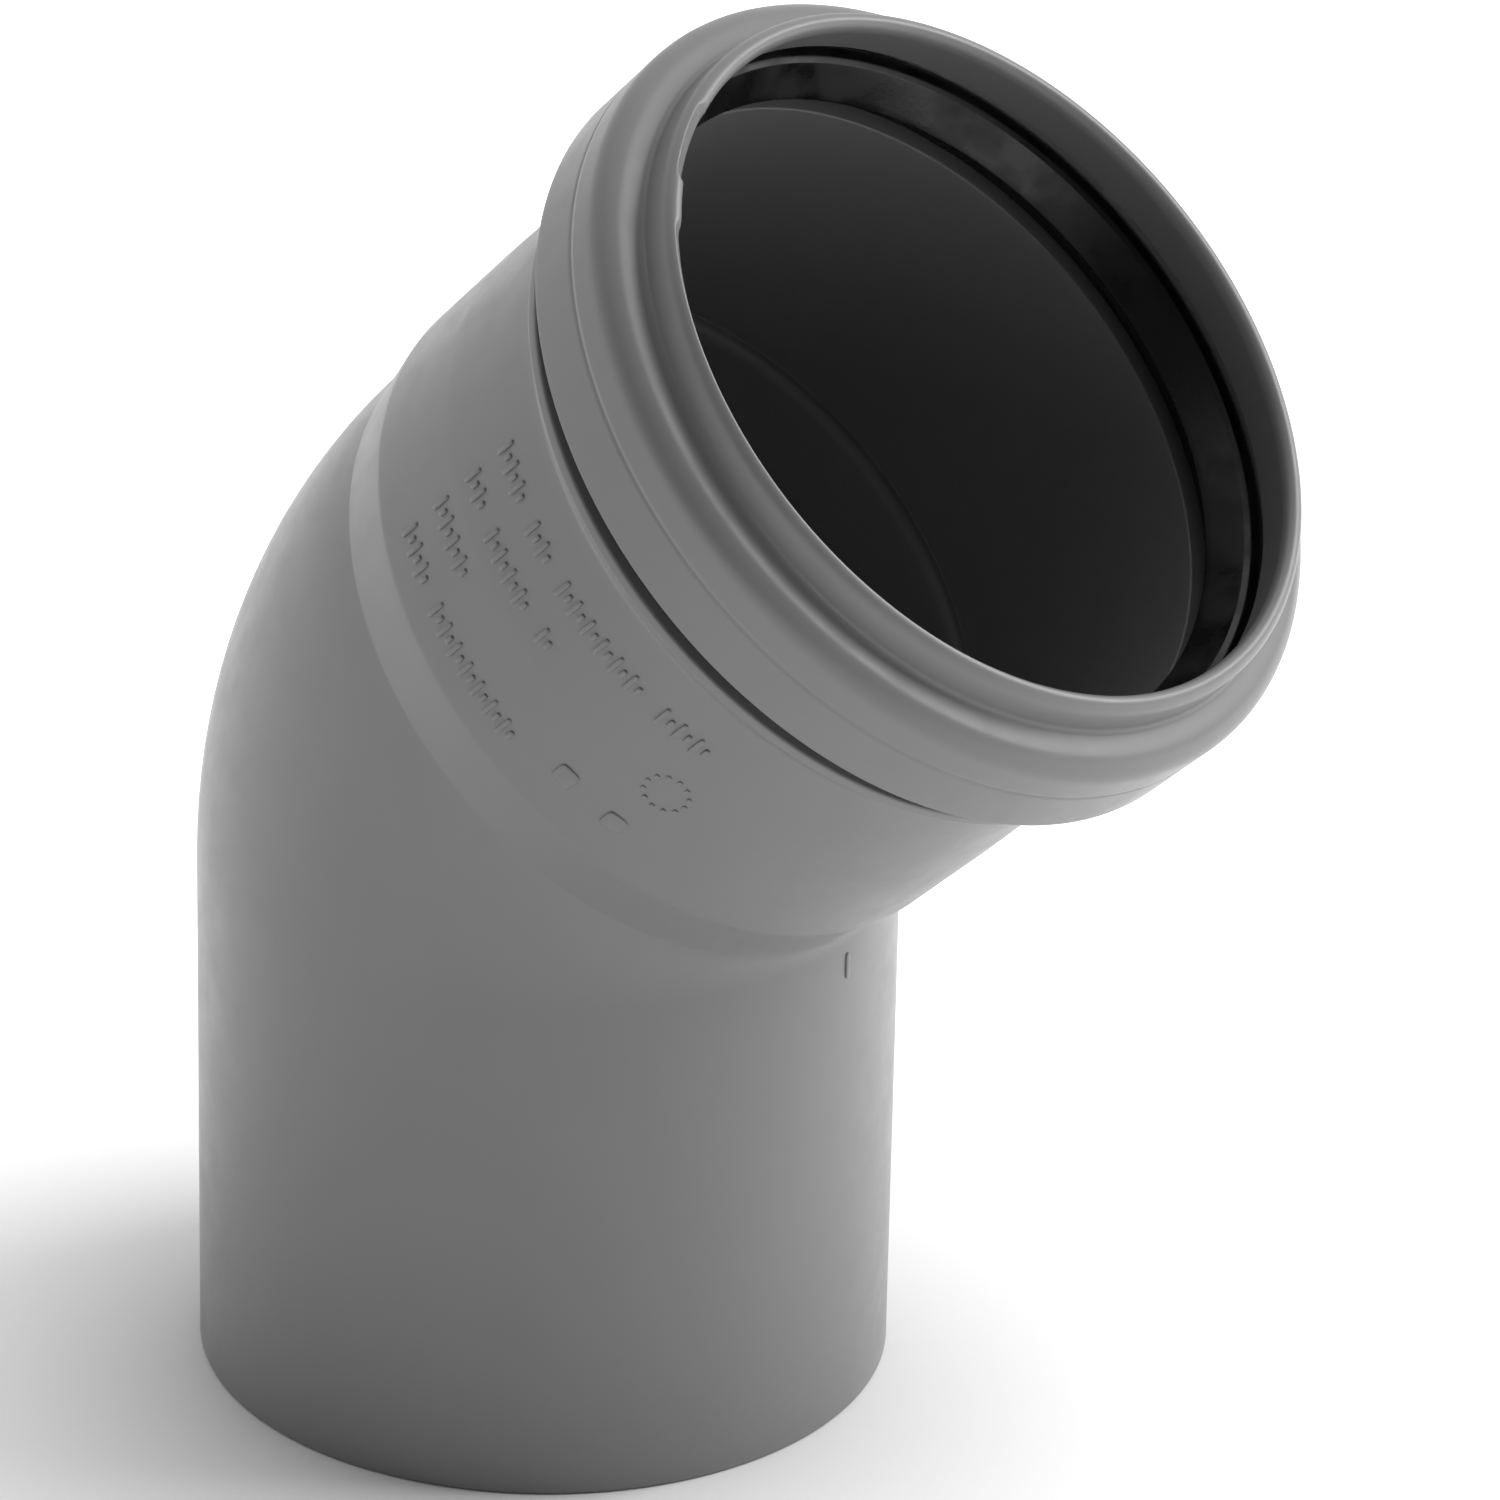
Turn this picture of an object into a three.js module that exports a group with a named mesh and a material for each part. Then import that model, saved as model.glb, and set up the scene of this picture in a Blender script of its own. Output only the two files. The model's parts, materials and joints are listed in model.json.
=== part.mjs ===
// A 45 degree push-fit elbow for 75 mm polypropylene waste pipe: a moulded body with a plain
// spigot and a socket, a black lip seal in the socket's pocket, and the clipped ring that
// closes the pocket and makes the socket's mouth.
//
// Millimetres, +Z up. The elbow stands on its spigot end and the socket leans towards +X.
// Lengths along the spigot are heights above its end. Lengths along the socket are measured
// from the point where the two pipe axes cross.

import * as THREE from "three";

// Pipe
const PIPE_R = 37.5;
const WALL = 1.9;
const BORE_R = PIPE_R - WALL;

// Elbow
const ELBOW_ANGLE = Math.PI / 4;
const CROSSING_HEIGHT = 73.9;
const BEND_R = 40.8;

// Socket sleeve
const SLEEVE_BASE_R = 39.1;
const SLEEVE_START = 25.0;
const SLEEVE_R = 39.4;
const SLEEVE_FULL = 38.0;
const SOCKET_BORE_R = 37.7;
const PIPE_STOP = 25.0;
const STOP_INNER_R = 36.1;

// Rim that the sleeve flares out to, and the groove in front of it
const RIM_R = 41.9;
const RIM_FLARE_START = 53.0;
const RIM_BACK = 55.5;
const RIM_FRONT = 56.75;
const GROOVE_R = 39.4;
const GROOVE_FRONT = 59.3;

// Seal pocket
const POCKET_BACK = 61.3;
const POCKET_FRONT = 70.4;
const POCKET_R = 41.0;
const POCKET_OUTER_R = 42.5;
const POCKET_SHOULDER = 60.9;

// Retaining ring
const FIT_GAP = 0.3;
const RING_BACK = 60.3;
const RING_BACK_R = 44.45;
const PARTING_LINE = 66.6;
const RING_R = 44.75;
const SHOULDER_START = 69.6;
const SHOULDER_FILLET = 2.6;
const SHOULDER_TURN = THREE.MathUtils.degToRad(78);
const VALLEY_R = 40.75;
const VALLEY_AT = 72.5;
const LIP_OUTER_R = 40.25;
const LIP_OUTER_AT = 76.1;
const LIP_CROWN_R = 39.85;
const LIP_CROWN_AT = 76.75;
const MOUTH_FACE = 77.1;
const MOUTH_FACE_OUTER_R = 39.35;
const MOUTH_FACE_INNER_R = 39.0;
const LIP_BEVEL_R = 38.55;
const LIP_BEVEL_AT = 76.7;
const LIP_INNER_R = 38.2;
const LIP_INNER_AT = 75.75;
const LIP_BACK_R = 39.3;

// Snap bead, a ridge round the pocket that sits in a groove inside the ring
const BEAD_AT = 65.5;
const BEAD_HALF = 1.0;
const BEAD_HEIGHT = 0.6;

// Lip seal
const SEAL_BACK = 61.7;
const SEAL_FRONT = 69.4;
const SEAL_R = 40.7;
const SEAL_INNER_R = 39.2;
const SEAL_NOSE = 68.9;
const SEAL_NOSE_R = 38.7;
const SEAL_TIP = 65.0;
const SEAL_TIP_R = 36.6;
const SEAL_TIP_THICK = 0.5;
const SEAL_ROOT = 67.2;

// Facets
const AROUND = 72;
const BEND_STEPS = 8;
const SHOULDER_STEPS = 4;

// Length of each axis that the bend takes up, and the bend's length on its centreline
const TANGENT = BEND_R * Math.tan(ELBOW_ANGLE / 2);
const BEND_START = CROSSING_HEIGHT - TANGENT;
const BEND_LENGTH = BEND_R * ELBOW_ANGLE;

const POLYPROPYLENE = { color: 0x7d7d7d, roughness: 0.45, metalness: 0 };
const EPDM_RUBBER = { color: 0x161616, roughness: 0.5, metalness: 0 };

// Closed [radius, height] outline, turned about +Z. It runs up its outside and down its inside.
function turned(outline) {
  const points = [...outline, outline[0]].map(([radius, height]) => new THREE.Vector2(radius, height));
  const geometry = new THREE.LatheGeometry(points, AROUND);
  geometry.rotateX(Math.PI / 2);
  return geometry;
}

// A ridge or groove of trapezium section, as outline points from its back to its front.
function bead(baseRadius, height) {
  return [
    [baseRadius, BEAD_AT - BEAD_HALF],
    [baseRadius + height, BEAD_AT - BEAD_HALF / 2],
    [baseRadius + height, BEAD_AT + BEAD_HALF / 2],
    [baseRadius, BEAD_AT + BEAD_HALF],
  ];
}

// Distance on the elbow's centreline of a length measured along the socket.
function alongSocket(length) {
  return BEND_START + BEND_LENGTH + length - TANGENT;
}

// Outline points at one radius, evenly spaced through the bend.
function bendStations(radius) {
  const points = [];
  for (let step = 0; step <= BEND_STEPS; step += 1) {
    points.push([radius, BEND_START + (BEND_LENGTH * step) / BEND_STEPS]);
  }
  return points;
}

// Bends a shape turned about +Z over towards +X: straight below the bend, round an arc of
// BEND_R through it, and straight along the socket's axis beyond it.
function bendOver(geometry) {
  const position = geometry.attributes.position;
  const point = new THREE.Vector3();
  for (let i = 0; i < position.count; i += 1) {
    point.fromBufferAttribute(position, i);
    const beyond = point.z - BEND_START;
    if (beyond > 0) {
      const turn = Math.min(beyond / BEND_R, ELBOW_ANGLE);
      const straight = Math.max(beyond - BEND_LENGTH, 0);
      const reach = BEND_R - point.x;
      const x = BEND_R - reach * Math.cos(turn) + straight * Math.sin(turn);
      const z = BEND_START + reach * Math.sin(turn) + straight * Math.cos(turn);
      position.setXYZ(i, x, point.y, z);
    }
  }
  return geometry;
}

function named(name, geometry, finish) {
  const mesh = new THREE.Mesh(geometry, new THREE.MeshStandardMaterial(finish));
  mesh.name = name;
  return mesh;
}

// Spigot, bend, sleeve, rim and seal pocket, moulded in one piece.
function elbowBody() {
  const socketOutside = [
    [SLEEVE_BASE_R, SLEEVE_START],
    [SLEEVE_R, SLEEVE_FULL],
    [SLEEVE_R, RIM_FLARE_START],
    [RIM_R, RIM_BACK],
    [RIM_R, RIM_FRONT],
    [GROOVE_R, RIM_FRONT],
    [GROOVE_R, GROOVE_FRONT],
    [POCKET_OUTER_R, POCKET_SHOULDER],
    ...bead(POCKET_OUTER_R, BEAD_HEIGHT),
    [POCKET_OUTER_R, POCKET_FRONT],
  ];
  const socketInside = [
    [POCKET_R, POCKET_FRONT],
    [POCKET_R, POCKET_BACK],
    [SOCKET_BORE_R, POCKET_BACK],
    [SOCKET_BORE_R, PIPE_STOP],
    [STOP_INNER_R, PIPE_STOP],
  ];
  const along = ([radius, length]) => [radius, alongSocket(length)];
  const outline = [
    [PIPE_R, 0],
    ...bendStations(PIPE_R),
    ...socketOutside.map(along),
    ...socketInside.map(along),
    ...bendStations(BORE_R).reverse(),
    [BORE_R, 0],
  ];
  return named("elbow_body", bendOver(turned(outline)), POLYPROPYLENE);
}

// Rounded front shoulder of the ring, from its outside towards the valley behind the mouth lip.
function ringShoulder() {
  const points = [];
  for (let step = 0; step <= SHOULDER_STEPS; step += 1) {
    const turn = (SHOULDER_TURN * step) / SHOULDER_STEPS;
    const radius = RING_R - SHOULDER_FILLET * (1 - Math.cos(turn));
    points.push([radius, SHOULDER_START + SHOULDER_FILLET * Math.sin(turn)]);
  }
  return points;
}

// Ring that snaps over the pocket from the front. It holds the seal in and forms the mouth lip.
function retainingRing() {
  const outside = [
    [RING_BACK_R, RING_BACK],
    [(RING_BACK_R + RING_R) / 2, PARTING_LINE],
    ...ringShoulder(),
    [VALLEY_R, VALLEY_AT],
    [LIP_OUTER_R, LIP_OUTER_AT],
    [LIP_CROWN_R, LIP_CROWN_AT],
    [MOUTH_FACE_OUTER_R, MOUTH_FACE],
  ];
  const boreRadius = POCKET_OUTER_R + FIT_GAP;
  const inside = [
    [MOUTH_FACE_INNER_R, MOUTH_FACE],
    [LIP_BEVEL_R, LIP_BEVEL_AT],
    [LIP_INNER_R, LIP_INNER_AT],
    [LIP_BACK_R, POCKET_FRONT + FIT_GAP],
    [boreRadius, POCKET_FRONT + FIT_GAP],
    ...bead(boreRadius, BEAD_HEIGHT).reverse(),
    [boreRadius, RING_BACK],
  ];
  return named("retaining_ring", turned([...outside, ...inside]), POLYPROPYLENE);
}

// Seal that lines the pocket. Its lip slants inwards and backwards to grip the pipe.
function lipSeal() {
  const outline = [
    [SEAL_R, SEAL_BACK],
    [SEAL_R, SEAL_FRONT],
    [SEAL_INNER_R, SEAL_FRONT],
    [SEAL_NOSE_R, SEAL_NOSE],
    [SEAL_TIP_R, SEAL_TIP],
    [SEAL_TIP_R + SEAL_TIP_THICK, SEAL_TIP - SEAL_TIP_THICK],
    [SEAL_INNER_R, SEAL_ROOT],
    [SEAL_INNER_R, SEAL_BACK],
  ];
  return named("lip_seal", turned(outline), EPDM_RUBBER);
}

// Ring and seal share the socket's axis.
const socket = new THREE.Group();
socket.position.z = CROSSING_HEIGHT;
socket.rotation.y = ELBOW_ANGLE;
socket.add(retainingRing());
socket.add(lipSeal());

const fitting = new THREE.Group();
fitting.add(elbowBody());
fitting.add(socket);

// The origin is below the middle of the fitting, on the plane that it stands on.
const middle = new THREE.Box3().setFromObject(fitting, true).getCenter(new THREE.Vector3());
fitting.position.x = -middle.x;

export default fitting;
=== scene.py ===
import json

import bpy
import numpy as np
from mathutils import Matrix, Vector


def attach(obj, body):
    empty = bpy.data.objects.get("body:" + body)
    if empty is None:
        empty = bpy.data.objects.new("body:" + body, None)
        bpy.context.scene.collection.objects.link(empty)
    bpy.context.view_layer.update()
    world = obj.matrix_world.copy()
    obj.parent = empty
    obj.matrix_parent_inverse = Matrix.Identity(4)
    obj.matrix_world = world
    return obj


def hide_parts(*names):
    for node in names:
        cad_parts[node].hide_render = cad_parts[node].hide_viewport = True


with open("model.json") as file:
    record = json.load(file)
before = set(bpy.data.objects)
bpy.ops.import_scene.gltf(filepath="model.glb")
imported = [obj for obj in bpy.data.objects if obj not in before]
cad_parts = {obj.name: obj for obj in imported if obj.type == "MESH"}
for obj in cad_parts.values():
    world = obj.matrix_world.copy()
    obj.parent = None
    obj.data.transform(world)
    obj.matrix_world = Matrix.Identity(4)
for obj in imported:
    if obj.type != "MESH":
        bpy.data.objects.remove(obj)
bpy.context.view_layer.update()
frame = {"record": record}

# ---------------------------------------------------------------------------------------
# Elbow body. Spigot, swept bend, sleeve, flared rim and seal pocket in one thin-walled
# injection moulding of grey polypropylene. It stands on its spigot end.
# ---------------------------------------------------------------------------------------

MM = 0.001
PIPE_R = 37.5
WALL = 1.9
CROSSING_HEIGHT = 73.9
BEND_R = 40.8
BEND_ANGLE = np.pi / 4
TANGENT = BEND_R * np.tan(BEND_ANGLE / 2)
BEND_START = CROSSING_HEIGHT - TANGENT
BEND_LENGTH = BEND_R * BEND_ANGLE
SLEEVE_BASE_R = 39.1
SLEEVE_START = 25.0
SLEEVE_R = 39.4
SLEEVE_FULL = 38.0
SOCKET_BORE_R = 37.7
PIPE_STOP = 25.0
STOP_INNER_R = 36.1
RIM_R = 41.9
GROOVE_R = 39.4
POCKET_BACK = 61.3
POCKET_FRONT = 70.4
POCKET_R = 41.0
POCKET_OUTER_R = 42.5
BEAD_AT = 65.5
BEAD_HALF = 1.0
BEAD_HEIGHT = 0.6
BODY_FACETS = 256

mounts = {mount["name"]: mount for mount in frame["record"]["mounts"]}
SPIGOT_X = mounts["spigot_end"]["pos_m"][0]


def rounded(corners, spacing=1.6, steps=6):
    """Closed outline through (radius, height, fillet) corners. Each corner becomes an arc of
    its fillet radius, tangent to both sides, and the sides between are cut to the spacing."""
    corners = np.array(corners, float)
    fan = np.linspace(0, 1, steps)[:, None]
    points = []
    for before, here, after in zip(np.roll(corners, 1, 0), corners, np.roll(corners, -1, 0)):
        back = (before - here)[:2] / np.linalg.norm((before - here)[:2])
        on = (after - here)[:2] / np.linalg.norm((after - here)[:2])
        half = np.arccos(np.clip(back @ on, -1, 1)) / 2
        if here[2] == 0 or half > 1.57:
            points.append(here[None, :2])
            continue
        centre = here[:2] + (back + on) / np.linalg.norm(back + on) * here[2] / np.sin(half)
        first = here[:2] + back * here[2] / np.tan(half) - centre
        last = here[:2] + on * here[2] / np.tan(half) - centre
        sweep = np.pi - 2 * half
        arc = np.sin((1 - fan) * sweep) * first + np.sin(fan * sweep) * last
        points.append(centre + arc / np.sin(sweep))
    outline = np.concatenate(points)
    following = np.roll(outline, -1, 0)
    cuts = np.ceil(np.linalg.norm(following - outline, axis=1) / spacing).astype(int)
    sides = [a + (b - a) * np.arange(n)[:, None] / n for a, b, n in zip(outline, following, cuts) if n]
    return np.concatenate(sides)


def over_bend(radius, angle, along):
    """Point at a radius, an angle about the pipe's axis (0 is the inside of the bend) and a
    length along the centreline: straight up, round the bend's arc, then straight at 45 degrees."""
    across = radius * np.cos(angle)
    turn = np.clip((along - BEND_START) / BEND_R, 0, BEND_ANGLE)
    straight = np.maximum(along - BEND_START - BEND_LENGTH, 0)
    reach = BEND_R - across
    x = BEND_R - reach * np.cos(turn) + straight * np.sin(turn)
    y = radius * np.sin(angle)
    z = np.minimum(along, BEND_START) + reach * np.sin(turn) + straight * np.cos(turn)
    return np.stack(np.broadcast_arrays(x, y, z), axis=-1) * MM + [SPIGOT_X, 0, 0]


def along_socket(length):
    """Centreline length of a place measured along the socket from where the two axes cross."""
    return length - TANGENT + BEND_START + BEND_LENGTH


def closed_skin(name, grid):
    """Mesh over a grid of points that closes on itself both ways: the first index runs round
    the pipe and the second along the outline, up the outside and down the inside."""
    around, along = grid.shape[:2]
    i, j = np.meshgrid(np.arange(around), np.arange(along), indexing="ij")
    ahead, up = (i + 1) % around, (j + 1) % along
    faces = np.stack([i * along + j, ahead * along + j, ahead * along + up, i * along + up], axis=-1)
    mesh = bpy.data.meshes.new(name)
    mesh.from_pydata(grid.reshape(-1, 3).tolist(), [], faces.reshape(-1, 4).tolist())
    mesh.polygons.foreach_set("use_smooth", np.ones(len(mesh.polygons), bool))
    piece = bpy.data.objects.new(name, mesh)
    bpy.context.collection.objects.link(piece)
    return piece


def round_pipe(steps):
    """Angles about the pipe's axis, evenly spaced, as a column."""
    return np.arange(steps)[:, None] * 2 * np.pi / steps


def bead(base, fillet):
    """Corners of the snap bead's trapezium section, standing on a base radius."""
    top = base + BEAD_HEIGHT
    return [
        (base, BEAD_AT - BEAD_HALF, 0),
        (top, BEAD_AT - BEAD_HALF / 2, fillet),
        (top, BEAD_AT + BEAD_HALF / 2, fillet),
        (base, BEAD_AT + BEAD_HALF, 0),
    ]


# Radius, length along the socket and fillet of each corner, up the outside and down the inside
socket_corners = [
    (PIPE_R, TANGENT + 0.5, 2.0),
    (SLEEVE_BASE_R, SLEEVE_START, 4.0),
    (SLEEVE_R, SLEEVE_FULL, 20),
    (SLEEVE_R, 53.0, 1.8),
    (RIM_R, 55.5, 0.3),
    (RIM_R, 56.75, 0.3),
    (GROOVE_R, 56.3, 0.3),
    (GROOVE_R, 59.3, 0.3),
    (POCKET_OUTER_R, 60.9, 0.3),
    *bead(POCKET_OUTER_R, 0.1),
    (POCKET_OUTER_R, POCKET_FRONT, 0.3),
    (POCKET_R, POCKET_FRONT, 0.2),
    (POCKET_R, POCKET_BACK, 0.3),
    (SOCKET_BORE_R, POCKET_BACK, 0.25),
    (SOCKET_BORE_R, PIPE_STOP, 0.15),
    (STOP_INNER_R, PIPE_STOP, 1.2),
    (PIPE_R - WALL, TANGENT, 6),
]
body_corners = [(PIPE_R, 0, 0.45)]
body_corners += [(radius, along_socket(length), fillet) for radius, length, fillet in socket_corners]
body_corners += [(PIPE_R - WALL, 0, 0.3)]
body_outline = rounded(body_corners)
body_grid = over_bend(body_outline[:, 0], round_pipe(BODY_FACETS), body_outline[:, 1])
elbow_body = closed_skin("elbow_moulding", body_grid)


def linear(code):
    """Linear colour of an sRGB hex code, with alpha 1."""
    channels = np.array([int(code[at:at + 2], 16) for at in (1, 3, 5)]) / 255
    low, high = channels / 12.92, ((channels + 0.055) / 1.055) ** 2.4
    return (*np.where(channels <= 0.04045, low, high).tolist(), 1.0)


def add(tree, kind, settings=None, **links):
    """Adds one node, sets its properties or input values, and links its named inputs."""
    node = tree.nodes.new(kind)
    for key, value in (settings or {}).items():
        if key in node.inputs:
            node.inputs[key].default_value = value
        else:
            setattr(node, key, value)
    for key, source in links.items():
        tree.links.new(source, node.inputs[key.replace("_", " ")])
    return node


def blank_material(name):
    """A material with an empty node tree and its output node."""
    material = bpy.data.materials.new(name)
    material.use_nodes = True
    material.node_tree.nodes.clear()
    return material, material.node_tree, material.node_tree.nodes.new("ShaderNodeOutputMaterial")


def moulded_polypropylene():
    """Injection-moulded polypropylene with a satin skin: the mould's fine spark-eroded grain,
    drawn at 0.35 mm so that it shows, faint flow marks, and handling scuffs that change the
    gloss more than the colour."""
    material, tree, output = blank_material("moulded_polypropylene")
    place = add(tree, "ShaderNodeTexCoord").outputs["Object"]
    grain = add(tree, "ShaderNodeTexNoise", {"Scale": 1 / (0.35 * MM), "Detail": 3.0}, Vector=place)
    flow = add(tree, "ShaderNodeTexNoise", {"Scale": 1 / (22 * MM), "Detail": 4.0, "Distortion": 0.6},
               Vector=place)
    scuff = add(tree, "ShaderNodeTexNoise", {"Scale": 1 / (5 * MM), "Detail": 6.0, "Roughness": 0.7},
                Vector=place)
    tone = add(tree, "ShaderNodeMix", {"data_type": "RGBA"}, Factor=flow.outputs["Fac"])
    tone.inputs[6].default_value = linear("#777777")
    tone.inputs[7].default_value = linear("#7c7c7c")
    gloss = add(tree, "ShaderNodeMapRange", {"From Min": 0.3, "From Max": 0.75, "To Min": 0.3,
                "To Max": 0.42}, Value=scuff.outputs["Fac"])
    bump = add(tree, "ShaderNodeBump", {"Strength": 0.06, "Distance": 0.03 * MM},
               Height=grain.outputs["Fac"])
    shader = add(tree, "ShaderNodeBsdfPrincipled", {"IOR": 1.49}, Base_Color=tone.outputs[2],
                 Roughness=gloss.outputs["Result"], Normal=bump.outputs["Normal"])
    tree.links.new(shader.outputs["BSDF"], output.inputs["Surface"])
    return material


polypropylene = moulded_polypropylene()
elbow_body.data.materials.append(polypropylene)
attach(elbow_body, "root")
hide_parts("elbow_body")

# ---------------------------------------------------------------------------------------
# Raised marks, moulded with the body. Rows of plain upright strokes, two square pads and a
# dial of dots stand where a maker's lettering, signs and date dial would be, and say nothing.
# A short rib on the spigot below the socket lines one fitting up with the next.
# ---------------------------------------------------------------------------------------

MARK_HEIGHT = 0.23
TALL_STROKE = (0.27, 1.35, MARK_HEIGHT)
SHORT_STROKE = (0.27, 0.6, MARK_HEIGHT)
SQUARE_PAD = (1.25, 1.25, MARK_HEIGHT)
DIAL_DOT = (0.26, 0.26, 0.14)
CELL_PITCH = 2.3
ROW_START = np.radians(-119.5)
PAD_SQUARENESS = 0.45
PAD_SPINS = 16
PAD_RINGS = 9
DIAL_ANGLE = np.radians(-63.0)
DIAL_AT = 38.7
DIAL_R = 2.4
DIAL_DOTS = 12
LINE_UP_RIB = (0.36, 1.5, 0.22)
RIB_HEIGHT = 54.4
RIB_ANGLE = np.radians(2.9)


def pads(base_radius, along, angles, size):
    """Closed rounded pads on the pipe, one for each place along it and angle about it: a
    flattened superellipsoid, whose sines and cosines are raised to a power below 1 to square it
    off. size is its half width round the pipe, half length along it and height."""
    base_radius = np.array(base_radius, float)[:, None, None]
    along = np.array(along, float)[:, None, None]
    angles = np.array(angles, float)[:, None, None]
    tilt = np.linspace(-np.pi / 2, np.pi / 2, PAD_RINGS)[None, None, :]
    spin = (np.arange(PAD_SPINS) * 2 * np.pi / PAD_SPINS)[None, :, None]
    slope = np.sign(np.sin(tilt)) * np.abs(np.sin(tilt)) ** PAD_SQUARENESS
    ring = np.abs(np.cos(tilt)) ** PAD_SQUARENESS
    wide = size[0] * ring * np.sign(np.cos(spin)) * np.abs(np.cos(spin)) ** PAD_SQUARENESS
    long = size[1] * ring * np.sign(np.sin(spin)) * np.abs(np.sin(spin)) ** PAD_SQUARENESS
    return over_bend(base_radius + size[2] * slope + 0 * spin, angles + wide / base_radius, along + long)


def pad_piece(name, *stacks):
    """One piece of many pads. Each pad is a grid of rings, closed by a single point at its foot
    and another at its top."""
    stack = np.concatenate(stacks)
    count, spins = stack.shape[:2]
    rings = stack.shape[2] - 2
    k, i, j = np.meshgrid(np.arange(count), np.arange(spins), np.arange(rings), indexing="ij")
    index = (k * spins + i) * rings + j
    ahead = np.roll(index, -1, axis=1)
    quads = np.stack([index[..., :-1], ahead[..., :-1], ahead[..., 1:], index[..., 1:]], axis=-1)
    foot = count * spins * rings + k[..., 0]
    top = foot + count
    foot_fan = np.stack([foot, ahead[..., 0], index[..., 0]], axis=-1)
    top_fan = np.stack([top, index[..., -1], ahead[..., -1]], axis=-1)
    points = np.concatenate([stack[:, :, 1:-1].reshape(-1, 3), stack[:, 0, 0], stack[:, 0, -1]])
    faces = quads.reshape(-1, 4).tolist() + foot_fan.reshape(-1, 3).tolist() + top_fan.reshape(-1, 3).tolist()
    mesh = bpy.data.meshes.new(name)
    mesh.from_pydata(points.tolist(), [], faces)
    mesh.polygons.foreach_set("use_smooth", np.ones(len(mesh.polygons), bool))
    piece = bpy.data.objects.new(name, mesh)
    bpy.context.collection.objects.link(piece)
    return piece


def sleeve_surface(length):
    """Radius of the sleeve, which widens in a straight line from its base to its full size."""
    return np.interp(length, [SLEEVE_START, SLEEVE_FULL], [SLEEVE_BASE_R, SLEEVE_R])


# Place of each row along the socket, its number of cells, and the cells left out as gaps
mark_rows = {46.5: (17, (3, 6, 13)), 40.8: (9, (2, 7)), 35.1: (4, ()), 29.4: (11, (3,))}
row_at = np.concatenate([np.full(count - len(gaps), at) for at, (count, gaps) in mark_rows.items()])
cell = np.concatenate([np.setdiff1d(np.arange(count), gaps) for count, gaps in mark_rows.values()])
cell_angle = ROW_START + cell * CELL_PITCH / SLEEVE_R
row_along = along_socket(row_at)
row_r = sleeve_surface(row_at)
tall = pads(row_r, row_along, cell_angle, TALL_STROKE)
short = pads(row_r, row_along, cell_angle + CELL_PITCH / 2 / SLEEVE_R, SHORT_STROKE)
squares_at = np.array([31.4, 31.0])
squares_angle = np.radians([-74.5, -64.5])
squares = pads(sleeve_surface(squares_at), along_socket(squares_at), squares_angle, SQUARE_PAD)
dial = np.arange(DIAL_DOTS) * 2 * np.pi / DIAL_DOTS
dial_along = along_socket(DIAL_AT + DIAL_R * np.cos(dial))
dots = pads(SLEEVE_R + 0 * dial, dial_along, DIAL_ANGLE + DIAL_R * np.sin(dial) / SLEEVE_R, DIAL_DOT)
rib = pads([PIPE_R], [RIB_HEIGHT], [RIB_ANGLE], LINE_UP_RIB)
raised_marks = pad_piece("raised_marks", tall, short, squares, dots, rib)
raised_marks.data.materials.append(polypropylene)
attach(raised_marks, "root")

# ---------------------------------------------------------------------------------------
# Retaining ring. A polypropylene ring that snaps over the pocket's bead from the front, keeps
# the seal in, and makes the rounded mouth lip. Its core left witness marks inside the lip.
# ---------------------------------------------------------------------------------------

RING_BACK_R = 44.45
RING_R = 44.74
PARTING_LINE = 66.6
MOUTH_FACE = 77.09
CROWN_R = 39.09
CROWN_DEEP = 1.35
CROWN_WIDE_OUT = 1.13
CROWN_WIDE_IN = 0.94
CROWN_PLANE = 0.28
LIP_BACK = 71.1
LIP_BACK_R = 39.3
RING_BACK = 60.3
RING_BORE_R = 42.8
RING_FACETS = 480
TOOTH_DEPTH = 0.45

# The lip's end is half an ellipse, a little wider outside its crown than inside it
crown_turn = np.linspace(0, np.pi, 25)
crown_wide = np.where(crown_turn < np.pi / 2, CROWN_WIDE_OUT, CROWN_WIDE_IN) * np.cos(crown_turn)
crown_s = MOUTH_FACE - CROWN_DEEP * (1 - np.sin(crown_turn))
crown = np.stack([CROWN_R + crown_wide, crown_s, 0 * crown_turn], axis=-1)
ring_corners = [
    (RING_BACK_R, RING_BACK, 0.14),
    (RING_BACK_R + 0.14, PARTING_LINE - 0.16, 0),
    (RING_BACK_R + 0.06, PARTING_LINE, 0),
    (RING_BACK_R + 0.15, PARTING_LINE + 0.16, 0),
    (RING_R, 71.92, 2.6),
    (40.3, 72.75, 0.7),
    *crown,
    (LIP_BACK_R, LIP_BACK, 0.2),
    (RING_BORE_R, LIP_BACK, 0.2),
    *bead(RING_BORE_R, 0.1)[::-1],
    (RING_BORE_R, RING_BACK, 0.2),
]


def step_between(angle, start, end, softness):
    """1 between two angles in degrees and 0 outside them, with a soft step at each."""
    rise = np.tanh((angle - start) / softness / 2)
    fall = np.tanh((angle - end) / softness / 2)
    return (rise - fall) / 2


ring_outline = rounded(ring_corners, spacing=0.45, steps=9)
ring_turn = round_pipe(RING_FACETS)
ring_degrees = (np.degrees(ring_turn) + 180) % 360 - 180
ring_r = ring_outline[:, 0] + 0 * ring_turn
ring_s = ring_outline[:, 1] + 0 * ring_turn
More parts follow.
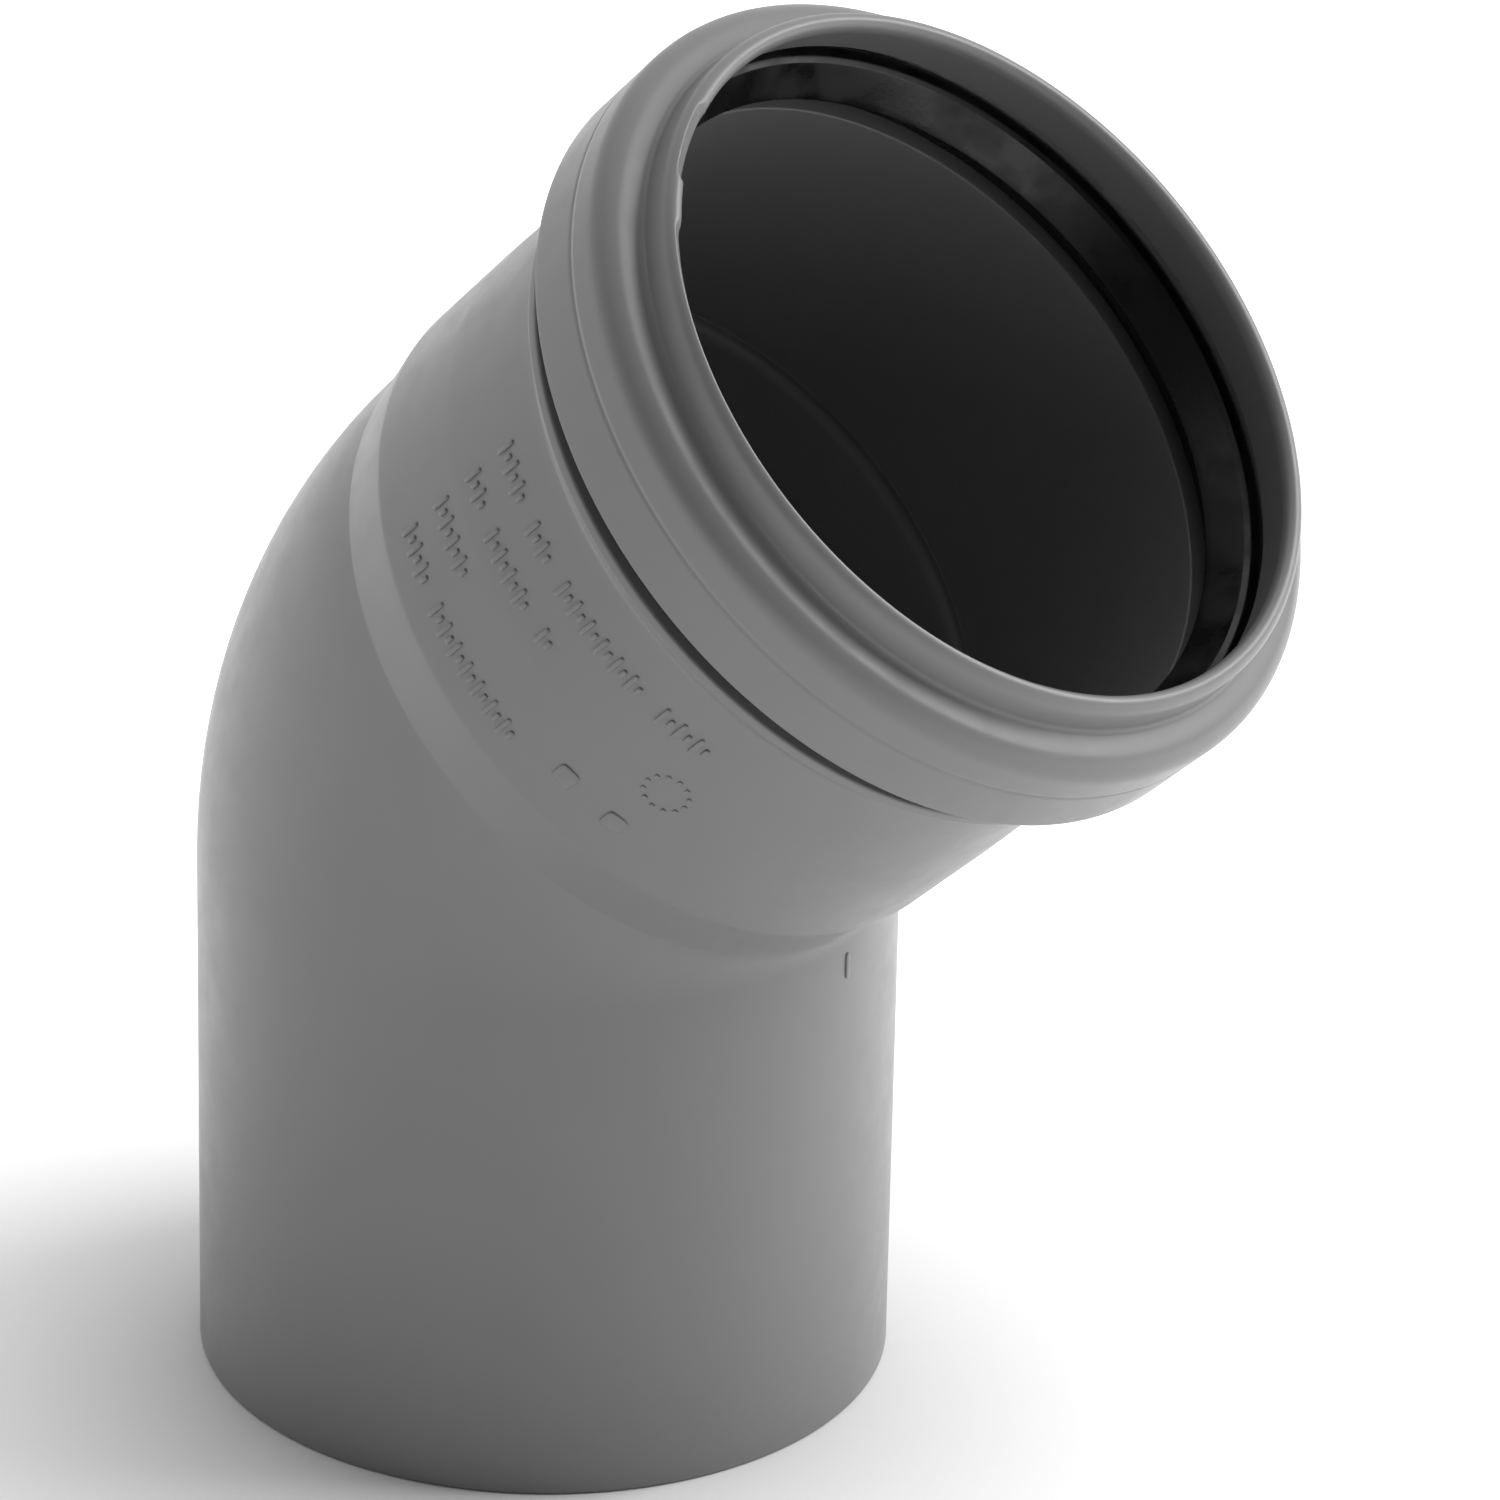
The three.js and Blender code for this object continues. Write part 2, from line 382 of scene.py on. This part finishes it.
# The core's edge planes the lip's inner corner off at 45 degrees, deeper on some arcs
plane_cut = 0.8 * step_between(ring_degrees, -156.5, -141, 0.2)
plane_cut += 0.7 * step_between(ring_degrees, -132.5, -20, 0.3) * np.clip((-20 - ring_degrees) / 110, 0, 1)
past_plane = np.maximum(ring_s - ring_r - (MOUTH_FACE - CROWN_R - plane_cut + CROWN_PLANE), 0)
past_plane *= (ring_s > 74) & (ring_r < 39.9)
ring_s = ring_s - past_plane / 2
ring_r = ring_r + past_plane / 2
# Two small teeth where the core's segments met, on the back edge of the lip
teeth = step_between(ring_degrees, 103.5, 105.2, 0.15)
teeth += 0.7 * step_between(ring_degrees, 100.2, 101.4, 0.15)
near_edge = np.exp(-((ring_s - LIP_BACK) ** 2 + (ring_r - LIP_BACK_R) ** 2) / 0.5)
ring_s = ring_s - TOOTH_DEPTH * teeth * near_edge
ring_grid = over_bend(ring_r, ring_turn, along_socket(ring_s))
retaining_ring = closed_skin("retaining_ring_moulding", ring_grid)
retaining_ring.data.materials.append(polypropylene)
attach(retaining_ring, "root")
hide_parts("retaining_ring")

# ---------------------------------------------------------------------------------------
# Lip seal. A moulded black EPDM rubber ring, held in the pocket by the retaining ring. Its
# soft lip slants inwards and backwards, and a film of lubricant makes it shine a little.
# ---------------------------------------------------------------------------------------

seal_corners = [
    (40.7, 61.7, 0.4),
    (40.7, 69.4, 0.4),
    (39.2, 69.3, 0.6),
    (38.7, 68.9, 0.4),
    (36.6, 65.0, 0.25),
    (37.1, 64.5, 0.25),
    (39.2, 67.2, 0.5),
    (39.2, 61.7, 0.4),
]
seal_outline = rounded(seal_corners, spacing=0.7, steps=6)
seal_grid = over_bend(seal_outline[:, 0], round_pipe(BODY_FACETS), along_socket(seal_outline[:, 1]))
lip_seal = closed_skin("rubber_lip_seal", seal_grid)


def lubricated_rubber():
    """Moulded black EPDM rubber: nearly black, with a fine matt grain, drawn at 0.5 mm so that
    it shows, and patches of silicone lubricant that are glossier than the rubber."""
    material, tree, output = blank_material("lubricated_epdm_rubber")
    place = add(tree, "ShaderNodeTexCoord").outputs["Object"]
    grain = add(tree, "ShaderNodeTexNoise", {"Scale": 1 / (0.5 * MM), "Detail": 2.0}, Vector=place)
    film = add(tree, "ShaderNodeTexNoise", {"Scale": 1 / (6 * MM), "Detail": 3.0}, Vector=place)
    gloss = add(tree, "ShaderNodeMapRange", {"From Min": 0.4, "From Max": 0.65, "To Min": 0.24,
                "To Max": 0.5}, Value=film.outputs["Fac"])
    bump = add(tree, "ShaderNodeBump", {"Strength": 0.2, "Distance": 0.05 * MM},
               Height=grain.outputs["Fac"])
    shader = add(tree, "ShaderNodeBsdfPrincipled", {"Base Color": linear("#0e0e0e"), "IOR": 1.5},
                 Roughness=gloss.outputs["Result"], Normal=bump.outputs["Normal"])
    tree.links.new(shader.outputs["BSDF"], output.inputs["Surface"])
    return material


lip_seal.data.materials.append(lubricated_rubber())
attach(lip_seal, "root")
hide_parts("lip_seal")

# ---------------------------------------------------------------------------------------
# Studio. A pale floor in a white tent: bright behind, above and to the sides, and dim on the
# side that the camera looks from. One soft box lights the mouth from the right and above. The
# floor also glows. This glow is painted light, brighter towards the back, and it fades out round
# the spigot's foot as painted shade.
# ---------------------------------------------------------------------------------------

AIM = Vector((-4.15, 10.8, 70.57)) * MM
AZIMUTH, ELEVATION, ROLL = np.radians([34.67, 24.8, 1.27])
DISTANCE = 918.8 * MM
LENS = 208.2
FLOOR_SIZE = 6.0
FRONT_LIGHT = 0.08
BACK_LIGHT = 1.15
SIDE_LIGHT = (0.82, 0.93)
LAMP_FROM = Vector((0.56, 0.56, 0.61))
LAMP_DISTANCE = 1.3
LAMP_SIZE = 0.8
LAMP_POWER = 12.5
FLOOR_GLOW = (0.4, 0.7)

camera = bpy.data.objects.new("camera", bpy.data.cameras.new("camera"))
bpy.context.collection.objects.link(camera)
camera.data.lens = LENS
camera.data.sensor_width = 36
camera.data.clip_start = 0.05
level = Vector((np.sin(AZIMUTH), -np.cos(AZIMUTH), 0))
back = level * np.cos(ELEVATION) + Vector((0, 0, np.sin(ELEVATION)))
turned = (-back).to_track_quat("-Z", "Y").to_matrix() @ Matrix.Rotation(ROLL, 3, "Z")
camera.matrix_world = Matrix.Translation(AIM + back * DISTANCE) @ turned.to_4x4()
bpy.context.scene.camera = camera
bpy.context.scene.view_settings.view_transform = "Standard"

floor_mesh = bpy.data.meshes.new("floor")
half_floor = FLOOR_SIZE / 2
floor_corners = [(x * half_floor, y * half_floor, 0) for x, y in ((-1, -1), (1, -1), (1, 1), (-1, 1))]
floor_mesh.from_pydata(floor_corners, [], [(0, 1, 2, 3)])
floor = bpy.data.objects.new("floor", floor_mesh)
bpy.context.collection.objects.link(floor)
# The floor's paint glows. This is painted light, stronger towards the back than the front.
floor_glow_material, floor_glow_tree, floor_glow_output = blank_material("white_floor_painted_glow")
floor_place = add(floor_glow_tree, "ShaderNodeTexCoord").outputs["Object"]
toward_back = add(floor_glow_tree, "ShaderNodeVectorMath", {"operation": "DOT_PRODUCT"}, Vector=floor_place)
toward_back.inputs[1].default_value = -level
glow = add(floor_glow_tree, "ShaderNodeMapRange", {"From Min": -0.25, "From Max": 0.35, "To Min": FLOOR_GLOW[0],
           "To Max": FLOOR_GLOW[1]}, Value=toward_back.outputs["Value"])
# Painted shade round the foot: the floor's glow fades to nothing within three pipe radii of the spigot's
# axis.
from_spigot = add(floor_glow_tree, "ShaderNodeVectorMath", {"operation": "DISTANCE"}, Vector=floor_place)
from_spigot.inputs[1].default_value = (SPIGOT_X, 0, 0)
clear = add(floor_glow_tree, "ShaderNodeMapRange", {"From Min": PIPE_R * MM, "From Max": 3 * PIPE_R * MM},
            Value=from_spigot.outputs["Value"])
painted_floor_glow = add(floor_glow_tree, "ShaderNodeMath", {"operation": "MULTIPLY"})
floor_glow_tree.links.new(glow.outputs["Result"], painted_floor_glow.inputs[0])
floor_glow_tree.links.new(clear.outputs["Result"], painted_floor_glow.inputs[1])
matt = add(floor_glow_tree, "ShaderNodeBsdfPrincipled", {"Base Color": linear("#f4f4f4"), "Roughness": 0.9,
           "Emission Color": (1, 1, 1, 1)}, Emission_Strength=painted_floor_glow.outputs[0])
floor_glow_tree.links.new(matt.outputs["BSDF"], floor_glow_output.inputs["Surface"])
floor.data.materials.append(floor_glow_material)

lamp = bpy.data.objects.new("soft_box", bpy.data.lights.new("soft_box", "AREA"))
bpy.context.collection.objects.link(lamp)
lamp.data.size = LAMP_SIZE
lamp.data.energy = LAMP_POWER
lamp_turn = LAMP_FROM.to_track_quat("Z", "Y").to_matrix().to_4x4()
lamp.matrix_world = Matrix.Translation(AIM + LAMP_FROM.normalized() * LAMP_DISTANCE) @ lamp_turn

world = bpy.data.worlds.new("white_tent")
bpy.context.scene.world = world
world.use_nodes = True
sky = world.node_tree
sky.nodes.clear()
ray = add(sky, "ShaderNodeTexCoord").outputs["Generated"]
facing = add(sky, "ShaderNodeVectorMath", {"operation": "DOT_PRODUCT"}, Vector=ray)
facing.inputs[1].default_value = back
sideways = add(sky, "ShaderNodeVectorMath", {"operation": "DOT_PRODUCT"}, Vector=ray)
sideways.inputs[1].default_value = (np.cos(AZIMUTH), np.sin(AZIMUTH), 0)
side = add(sky, "ShaderNodeMapRange", {"From Min": -1.0, "From Max": 1.0, "To Min": SIDE_LIGHT[0],
           "To Max": SIDE_LIGHT[1]}, Value=sideways.outputs["Value"])
depth = add(sky, "ShaderNodeMapRange", {"interpolation_type": "SMOOTHSTEP", "From Min": 0.0, "From Max": 0.9,
            "To Min": BACK_LIGHT, "To Max": FRONT_LIGHT}, Value=facing.outputs["Value"])
strength = add(sky, "ShaderNodeMath", {"operation": "MULTIPLY"})
sky.links.new(depth.outputs["Result"], strength.inputs[0])
sky.links.new(side.outputs["Result"], strength.inputs[1])
tent = add(sky, "ShaderNodeBackground", {"Color": (1, 1, 1, 1)}, Strength=strength.outputs[0])
plain = add(sky, "ShaderNodeBackground", {"Color": (1, 1, 1, 1), "Strength": 1.0})
seen = add(sky, "ShaderNodeLightPath").outputs["Is Camera Ray"]
mixed = add(sky, "ShaderNodeMixShader")
sky.links.new(seen, mixed.inputs[0])
sky.links.new(tent.outputs[0], mixed.inputs[1])
sky.links.new(plain.outputs[0], mixed.inputs[2])
sky.links.new(mixed.outputs[0], add(sky, "ShaderNodeOutputWorld").inputs["Surface"])
